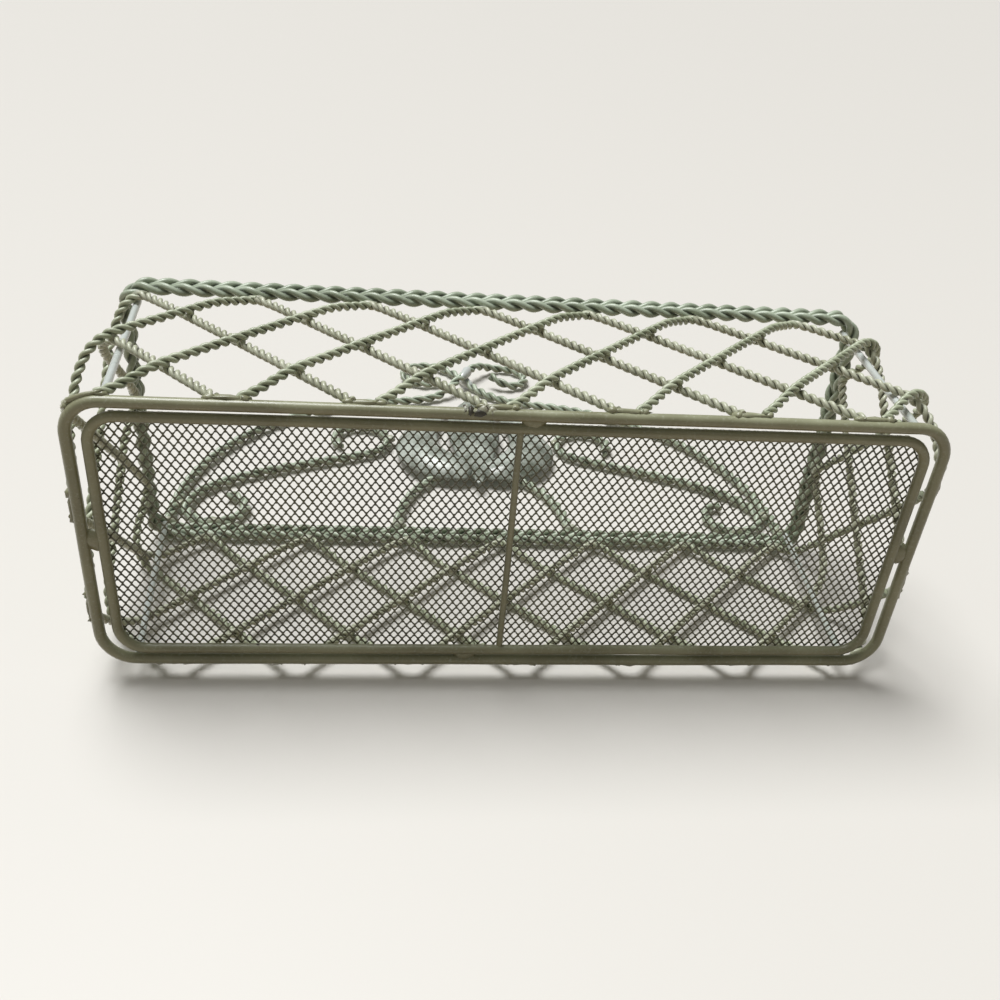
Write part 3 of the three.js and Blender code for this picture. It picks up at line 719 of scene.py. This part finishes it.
# way is 1 for the outer layer, which leans onward round the basket, and -1 for the inner one
def wirePlace(index, way, walked):
    lift = smoothStep(min(walked, wireRun - walked), 0, lattice["ramp"])
    offset = lerp(innerOffset, outerOffset, lift) if way > 0 else innerOffset
    foot = nodeAt(index) + way * lattice["footSpacing"] / 2
    peak = nodeAt(index + way * lattice["nodesPerWire"])
    return onWall(lerp(foot, peak, walked / wireRun), wireHeight(walked), offset)


def makeWire(index, way, phase):
    pitch = lattice["outerPitch"] if way > 0 else lattice["innerPitch"]
    sampled = []
    for i in range(lattice["samples"] + 1):
        walked = lerp(-lattice["footLap"], wireRun, i / lattice["samples"])
        sampled.append(wirePlace(index, way, walked)[0])
    path = evenSteps(sampled, pitch / lattice["stepsPerTurn"])
    facings = []
    for i in range(len(path)):
        facings.append(wirePlace(index, way, wireRun * i / (len(path) - 1))[1])
    return twistedMesh(path, facings, False, lattice, pitch, 1, phase)


for index, (panel, number, walked) in enumerate(latticeNodes):
    for layer, way, finish in (("inner", -1, "paleWirePaint"), ("outer", 1, "wirePaint")):
        mesh = makeWire(index, way, walked * lattice["phasePerMetre"])
        dressNode(f"lattice_{panel}_{layer}_{number}", mesh, paint[finish], "wire_paint")
print("lattice wound:", 2 * len(latticeNodes), "wires")

# welds of the lattice: flattened feet along the ring, beads at the peaks and spots where the layers cross
latticeWeld = {
    "foot": (0.0096, 0.0022, 0.0016), "footRough": 0.45, "footLean": 1.3, "footOut": 0.0024,
    "footRise": 0.0018, "blob": (0.0028, 0.0022, 0.0018), "blobRough": 0.8,
    "peak": (0.0046, 0.0022, 0.0019), "peakRough": 0.5, "peakDrop": 0.0008,
    "spot": (0.0016, 0.0016, 0.0022), "spotRough": 0.3, "nodesToCrossings": (0.5, 1, 1.5),
}


def addFootWelds(bm, node):
    for shift, part in ((0, "foot"), (-0.5, "blob"), (0.5, "blob")):
        walked = node + shift * lattice["footSpacing"]
        low, outward = onWall(walked, ringZ + latticeWeld["footRise"], latticeWeld["footOut"])
        lean = (up + outward * latticeWeld["footLean"]).normalized()
        addLump(bm, low, latticeWeld[part], up.cross(outward), lean, latticeWeld[part + "Rough"])


def addPeakWeld(bm, node):
    peakZ = lowerRopeZ - basket["rope"] - latticeWeld["peakDrop"]
    high, outward = onWall(node, peakZ, innerOffset)
    addLump(bm, high, latticeWeld["peak"], up.cross(outward), up, latticeWeld["peakRough"])


def addCrossWelds(bm, node, index):
    for nodesOn in latticeWeld["nodesToCrossings"]:
        height = wireHeight(nodesOn * nodePitch - lattice["footSpacing"] / 2)
        middle = (node + nodeAt(index + round(2 * nodesOn))) / 2
        spot, outward = onWall(middle, height, (innerOffset + outerOffset) / 2)
        addLump(bm, spot, latticeWeld["spot"], up.cross(outward), outward, latticeWeld["spotRough"])


footWelds, peakWelds, crossWelds = bmesh.new(), bmesh.new(), bmesh.new()
for index, (panel, number, walked) in enumerate(latticeNodes):
    addFootWelds(footWelds, walked)
    addPeakWeld(peakWelds, walked)
    addCrossWelds(crossWelds, walked, index)
placePiece("latticeFootWelds", bmeshToMesh(footWelds), paint["rodShadedPaint"], "wire_paint")
placePiece("latticePeakWelds", bmeshToMesh(peakWelds), paint["weldPaint"], "wire_paint")
placePiece("latticeCrossWelds", bmeshToMesh(crossWelds), paint["weldPaint"], "wire_paint")

# crest, drawn on the right side as width and height over the rim, all in the wall plane
crest = {"steps": 48, "strand": 0.00175, "pitch": 0.0205, "stepsPerTurn": 16, "sides": 10, "fill": 0.62,
         "groove": 0.6, "phase": 0.8}


def bezier(points, steps):
    start, startHandle, endHandle, end = (Vector((x, height, 0)) for x, height in points)
    line = []
    for i in range(steps + 1):
        t = i / steps
        first = start * (1 - t) ** 3 + startHandle * 3 * t * (1 - t) ** 2
        line.append(first + endHandle * 3 * t * t * (1 - t) + end * t ** 3)
    return line


def spiral(x, height, fromDegrees, toDegrees, fromRadius, toRadius, steps):
    line = []
    for i in range(steps + 1):
        angle = math.radians(lerp(fromDegrees, toDegrees, i / steps))
        radius = lerp(fromRadius, toRadius, i / steps)
        line.append(Vector((x + radius * math.cos(angle), height + radius * math.sin(angle), 0)))
    return line


# a rope along a drawn line in the wall plane, mirrored for the left side, with a shift forward on the way
def dressRope(node, drawn, side, shift=None):
    path = [Vector((side * p.x, crestY - (shift(p) if shift else 0), rimTopZ + p.y)) for p in drawn]
    path = evenSteps(path, crest["pitch"] / crest["stepsPerTurn"])
    mesh = twistedMesh(path, [-forward] * len(path), False, crest, crest["pitch"], 1, crest["phase"])
    dressNode(node, mesh, paint["ropePaint"], "rope_paint")


# outer arcs: up from the rim's corners to a shoulder, over the crossing and into a curl
arc = {
    "bulge": 0.008, "handle": 0.104, "shoulderHandle": 0.084, "shoulderDrop": 0.011, "shoulderX": 0.05,
    "shoulderHeight": 0.187, "crossingHeight": 0.229, "curlX": 0.033, "curlHeight": 0.238,
    "curlRadius": 0.021, "curlEndRadius": 0.0155, "curlStart": 45, "curlEnd": 320, "curlHandle": 0.008,
    "bendFlat": 0.48, "bendRise": 0.11, "crossingReach": 0.2, "crossingDrop": 0.57, "crossingRise": 0.285,
    "shiftHold": 0.014, "shiftFade": 0.044,
}
arcFootX = (basket["rimWidth"] - basket["rimCorner"]) / 2
shoulder = (arc["shoulderX"], arc["shoulderHeight"])
crossing = (0, arc["crossingHeight"])
shoulderToCrossing = arc["crossingHeight"] - arc["shoulderHeight"]
crossingHandleX = arc["shoulderX"] * arc["crossingReach"]
crossingHandleDrop = shoulderToCrossing * arc["crossingDrop"]
curlAngle = math.radians(arc["curlStart"])
curlStartX = -arc["curlX"] + arc["curlRadius"] * math.cos(curlAngle)
curlStartHeight = arc["curlHeight"] + arc["curlRadius"] * math.sin(curlAngle)
# the curl starts on a diagonal
curlHandleShift = arc["curlHandle"] * math.sqrt(0.5)
sweepUp = bezier((
    (arcFootX, 0),
    (arcFootX + arc["bulge"], arc["handle"]),
    (arc["shoulderX"] + arc["shoulderHandle"], arc["shoulderHeight"] - arc["shoulderDrop"]),
    shoulder), crest["steps"])
bendUp = bezier((
    shoulder,
    (arc["shoulderX"] * (1 - arc["bendFlat"]), arc["shoulderHeight"] + shoulderToCrossing * arc["bendRise"]),
    (crossingHandleX, arc["crossingHeight"] - crossingHandleDrop),
    crossing), crest["steps"])
bendOver = bezier((
    crossing,
    (-crossingHandleX * arc["crossingRise"] / arc["crossingDrop"],
     arc["crossingHeight"] + shoulderToCrossing * arc["crossingRise"]),
    (curlStartX + curlHandleShift, curlStartHeight - curlHandleShift),
    (curlStartX, curlStartHeight)), crest["steps"])
curl = spiral(-arc["curlX"], arc["curlHeight"], arc["curlStart"], arc["curlEnd"], arc["curlRadius"],
              arc["curlEndRadius"], crest["steps"])
arcDrawn = sweepUp + bendUp[1:] + bendOver[1:] + curl[1:]


# the left arc passes in front of the right one
def crossingShift(point):
    away = (point - Vector((*crossing, 0))).length
    return ropeSpacing * (1 - smoothStep(away, arc["shiftHold"], arc["shiftFade"]))


dressRope("crest_arc_right", arcDrawn, 1)
dressRope("crest_arc_left", arcDrawn, -1, crossingShift)

# side scrolls: a loop on the rim, a stroke and a smaller loop beside the tulip
scroll = {"radius": 0.0205, "endRadius": 0.014, "innerX": 0.084, "innerHeight": 0.119, "innerRadius": 0.023,
          "innerEndRadius": 0.016, "outerTurn": 260, "innerJoin": 243, "innerEnd": -40, "handle": 0.04}
outerX = arcFootX - 2 * basket["rope"] - basket["gap"] - scroll["radius"]
bottomRadius = lerp(scroll["radius"], scroll["endRadius"], 90 / scroll["outerTurn"])
outerHeight = basket["rope"] + basket["gap"] + bottomRadius
joinAngle = math.radians(scroll["innerJoin"])
joinX = scroll["innerX"] + scroll["innerRadius"] * math.cos(joinAngle)
joinHeight = scroll["innerHeight"] + scroll["innerRadius"] * math.sin(joinAngle)
outerLoop = spiral(outerX, outerHeight, -scroll["outerTurn"], 0, scroll["endRadius"], scroll["radius"],
                   crest["steps"])
stroke = bezier((
    (outerX + scroll["radius"], outerHeight),
    (outerX + scroll["radius"], outerHeight + scroll["handle"]),
    (joinX - scroll["handle"] * math.sin(joinAngle), joinHeight + scroll["handle"] * math.cos(joinAngle)),
    (joinX, joinHeight)), crest["steps"])
innerLoop = spiral(scroll["innerX"], scroll["innerHeight"], scroll["innerJoin"], scroll["innerEnd"],
                   scroll["innerRadius"], scroll["innerEndRadius"], crest["steps"])
scrollDrawn = outerLoop + stroke[1:] + innerLoop[1:]
dressRope("crest_scroll_right", scrollDrawn, 1)
dressRope("crest_scroll_left", scrollDrawn, -1)

arch = {"halfSpan": 0.055, "rise": 0.076}
archDrawn = []
for i in range(crest["steps"] + 1):
    angle = math.pi * i / crest["steps"]
    archDrawn.append(Vector((arch["halfSpan"] * math.cos(angle), arch["rise"] * math.sin(angle), 0)))
dressRope("crest_arch", archDrawn, 1)
print("crest bent")

# tulip pressed from sheet: three domed petals, each with a groove down its middle
tulip = {
    "bottom": 0.05, "height": 0.128, "thickness": 0.0014, "bulge": 0.009, "middleHalfWidth": 0.019,
    "middleWaist": 1.4, "sideHalfWidth": 0.018, "sideWaist": 0.6, "sideFoot": 0.004, "sideFootRise": 0.018,
    "sideBelly": 0.06985, "sideBellyRise": 0.036, "sideReach": 0.018, "sideTipDrop": 0.008, "fullness": 0.8,
    "end": 0.03, "rows": 36, "columns": 20, "rib": 0.0009, "ribWidth": 0.16, "sideSetback": 0.0018,
}


def addPetal(bm, base, handle, tip, halfWidth, waist, setback):
    base, handle, tip = Vector((*base, 0)), Vector((*handle, 0)), Vector((*tip, 0))
    sheet = bmesh.ops.create_grid(bm, x_segments=tulip["columns"], y_segments=tulip["rows"], size=1)
    backY = crestY - basket["rope"] - basket["gap"] + setback
    for vert in sheet["verts"]:
        share, across = (vert.co.y + 1) / 2, vert.co.x
        spot = base * (1 - share) ** 2 + handle * 2 * share * (1 - share) + tip * share ** 2
        along = ((handle - base) * (1 - share) + (tip - handle) * share).normalized()
        swell = math.sin(math.pi * lerp(tulip["end"], 1 - tulip["end"], share) ** waist)
        reach = across * halfWidth * swell ** tulip["fullness"]
        dome = tulip["bulge"] * swell * (1 - across * across)
        dome -= tulip["rib"] * math.exp(-(across / tulip["ribWidth"]) ** 2) * swell
        sheetY = backY - tulip["thickness"] / 2 - dome
        vert.co = Vector((spot.x + along.y * reach, sheetY, rimTopZ + spot.y - along.x * reach))


tulipTop = tulip["bottom"] + tulip["height"]
bm = bmesh.new()
addPetal(bm, (0, tulip["bottom"]), (0, (tulip["bottom"] + tulipTop) / 2), (0, tulipTop),
         tulip["middleHalfWidth"], tulip["middleWaist"], 0)
for side in (-1, 1):
    addPetal(bm, (side * tulip["sideFoot"], tulip["bottom"] + tulip["sideFootRise"]),
             (side * tulip["sideBelly"], tulip["bottom"] + tulip["sideBellyRise"]),
             (side * tulip["sideReach"], tulipTop - tulip["sideTipDrop"]),
             tulip["sideHalfWidth"], tulip["sideWaist"], tulip["sideSetback"])
tulipPiece = dressNode("crest_tulip", bmeshToMesh(bm), paint["sheetPaint"], "sheet_paint")
sheetWall = tulipPiece.modifiers.new("sheet", "SOLIDIFY")
sheetWall.thickness = tulip["thickness"]
sheetWall.offset = 0

# welds of the crest: a sleeve along both arcs at their crossing, and lumps at feet and touches
crestWeld = {
    "arm": (0.0125, 0.0043, 0.0043), "armRough": 0.28, "foot": (0.0052, 0.0046, 0.0022),
    "touch": (0.0034, 0.0026, 0.004), "touchForward": 0.0012, "rough": 0.4,
    "archTouchWidth": 0.42, "archTouchHeight": 0.9,
}
bm = bmesh.new()
for side, shift in ((1, 0), (-1, ropeSpacing)):
    place = Vector((0, crestY - shift, rimTopZ + arc["crossingHeight"]))
    lean = Vector((-side * crossingHandleX, 0, crossingHandleDrop)).normalized()
    addLump(bm, place, crestWeld["arm"], lean, forward, crestWeld["armRough"])
# the crossing sleeve takes the pale bluish-white paint, a painted highlight
placePiece("crestCrossingWeld", bmeshToMesh(bm), paint["postPaint"], "rope_paint")
crestTouches = (
    (arcFootX, 0, "foot"),
    (outerX, 0, "foot"),
    (arch["halfSpan"], 0, "foot"),
    (arcFootX - basket["rope"], outerHeight, "touch"),
    (scroll["innerX"] - scroll["innerRadius"], scroll["innerHeight"], "touch"),
    (arch["halfSpan"] * crestWeld["archTouchWidth"], arch["rise"] * crestWeld["archTouchHeight"], "touch"),
)
bm = bmesh.new()
for side in (-1, 1):
    for x, height, part in crestTouches:
        place = Vector((side * x, crestY - crestWeld["touchForward"], rimTopZ + height))
        addLump(bm, place, crestWeld[part], right, up, crestWeld["rough"])
placePiece("crestWelds", bmeshToMesh(bm), paint["weldPaint"], "rope_paint")

# butt weld that closes the base ring: lumps on both rod ends, and near-black lumps between them that paint
# the shade in the gap
buttWeld = {
    "rough": 0.6,
    "lumps": (((-0.0284, -0.0008, 0.0010), (0.0019, 0.0030, 0.0030)),
              ((-0.0208, -0.0012, 0.0010), (0.0038, 0.0032, 0.0029)),
              ((-0.0166, -0.0008, 0.0009), (0.0034, 0.0030, 0.0028))),
    "notches": (((-0.0262, -0.0010, -0.0004), (0.0018, 0.0025, 0.0025)),
                ((-0.0226, -0.0008, -0.0017), (0.0033, 0.0018, 0.0012))),
}
for name, part, finish in (
    ("ringButtWeld", "lumps", "buttPaint"),
    ("ringButtGapShade", "notches", "gapShadePaint"),
):
    bm = bmesh.new()
    for (x, shift, rise), size in buttWeld[part]:
        addLump(bm, Vector((x, ringFrontY + shift, ringZ + rise)), size, right, up, buttWeld["rough"])
    placePiece(name, bmeshToMesh(bm), paint[finish], "rod_paint")
print("welds set")

# pale floor in the wall plane, soft light from above the front panel, and the photograph's camera
studio = {
    "floorSize": 40, "floorGap": 0.0004, "floorRoughness": 0.55,
    "floorColour": (218, 216, 211), "bounceColour": (136, 112, 82),
    "worldColour": (240, 236, 228), "worldStrength": 0.26, "skyStrength": 0.8,
    "sunFrom": (-0.25, -1.0, 0.25), "sunAngle": 34, "sunStrength": 3.4,
    "lampAim": (0, 0, 0.13),
    "fillLamp": {"place": (-0.9, -0.9, -1.0), "size": 1.6, "power": 0.5},
    "backLamp": {"place": (-0.7, 1.4, 0.9), "size": 1.8, "power": 14},
}
view = {
    "place": (-0.0600, -0.2505, -0.3693), "pitch": 0.5391, "yaw": 0.1339, "roll": 0.0917,
    "focal": 950, "imageSize": 1000, "sensor": 36, "clipStart": 0.01,
}


def makeFloor():
    bm = bmesh.new()
    bmesh.ops.create_grid(bm, x_segments=1, y_segments=1, size=studio["floorSize"] / 2)
    bmesh.ops.rotate(bm, verts=bm.verts, matrix=Matrix.Rotation(quarterTurn, 3, "X"))
    bmesh.ops.translate(bm, verts=bm.verts, vec=(0, cadHigh.y + studio["floorGap"], 0))
    plane = bpy.data.objects.new("studioFloor", bmeshToMesh(bm))
    scene.collection.objects.link(plane)
    material = bpy.data.materials.new("floorPale")
    material.use_nodes = True
    tree = material.node_tree
    shader = tree.nodes["Principled BSDF"]
    shader.inputs["Roughness"].default_value = studio["floorRoughness"]
    rays = tree.nodes.new("ShaderNodeLightPath").outputs
    # pale to the eye, and a warmer, darker tone in the light that it throws back
    mirrored = calculate(tree, "MAXIMUM", rays["Is Glossy Ray"], rays["Is Transmission Ray"])
    seen = calculate(tree, "MAXIMUM", rays["Is Camera Ray"], mirrored)
    tone = blendColours(tree, seen, srgb(*studio["bounceColour"]), srgb(*studio["floorColour"]))
    feed(tree, shader.inputs["Base Color"], tone)
    # clear from behind and to the lamp that lights the wall side
    behind = tree.nodes.new("ShaderNodeNewGeometry").outputs["Backfacing"]
    passed = calculate(tree, "MAXIMUM", behind, rays["Is Shadow Ray"])
    clear = tree.nodes.new("ShaderNodeBsdfTransparent").outputs["BSDF"]
    surface = mixShaders(tree, passed, shader.outputs["BSDF"], clear)
    feed(tree, tree.nodes["Material Output"].inputs["Surface"], surface)
    plane.data.materials.append(material)


def makeLamp(name):
    settings = studio[name]
    lamp = bpy.data.lights.new(name, "AREA")
    lamp.size = settings["size"]
    lamp.energy = settings["power"]
    holder = bpy.data.objects.new(name, lamp)
    scene.collection.objects.link(holder)
    holder.location = settings["place"]
    aim = Vector(studio["lampAim"]) - Vector(settings["place"])
    holder.rotation_euler = aim.to_track_quat("-Z", "Y").to_euler()


def makeSun():
    sun = bpy.data.lights.new("keySun", "SUN")
    sun.angle = math.radians(studio["sunAngle"])
    sun.energy = studio["sunStrength"]
    holder = bpy.data.objects.new("keySun", sun)
    scene.collection.objects.link(holder)
    holder.rotation_euler = (-Vector(studio["sunFrom"])).to_track_quat("-Z", "Y").to_euler()


# dim in the light that it gives, and pale where the camera looks past the floor
def makeWorld():
    world = bpy.data.worlds.new("studioWorld")
    scene.world = world
    world.use_nodes = True
    tree = world.node_tree
    dim = tree.nodes["Background"]
    pale = tree.nodes.new("ShaderNodeBackground")
    for sky, strength in ((dim, studio["worldStrength"]), (pale, studio["skyStrength"])):
        sky.inputs["Color"].default_value = srgb(*studio["worldColour"])
        sky.inputs["Strength"].default_value = strength
    seen = tree.nodes.new("ShaderNodeLightPath").outputs["Is Camera Ray"]
    surface = mixShaders(tree, seen, dim.outputs["Background"], pale.outputs["Background"])
    feed(tree, tree.nodes["World Output"].inputs["Surface"], surface)


def makeCamera():
    pitch, yaw, roll = view["pitch"], view["yaw"], view["roll"]
    look = Vector((math.sin(yaw) * math.cos(pitch), math.sin(pitch), math.cos(yaw) * math.cos(pitch)))
    across = Vector((math.cos(yaw), 0, -math.sin(yaw)))
    above = across.cross(look)
    level = across * math.cos(roll) + above * math.sin(roll)
    above = above * math.cos(roll) - across * math.sin(roll)
    camera = bpy.data.objects.new("photoCamera", bpy.data.cameras.new("photoCamera"))
    scene.collection.objects.link(camera)
    camera.data.sensor_width = view["sensor"]
    camera.data.lens = view["focal"] / view["imageSize"] * view["sensor"]
    camera.data.clip_start = view["clipStart"]
    turn = Matrix((level, above, -look)).transposed().to_4x4()
    camera.matrix_world = Matrix.Translation(view["place"]) @ turn
    scene.camera = camera


makeFloor()
makeSun()
makeLamp("fillLamp")
makeLamp("backLamp")
makeWorld()
makeCamera()
print("studio ready")
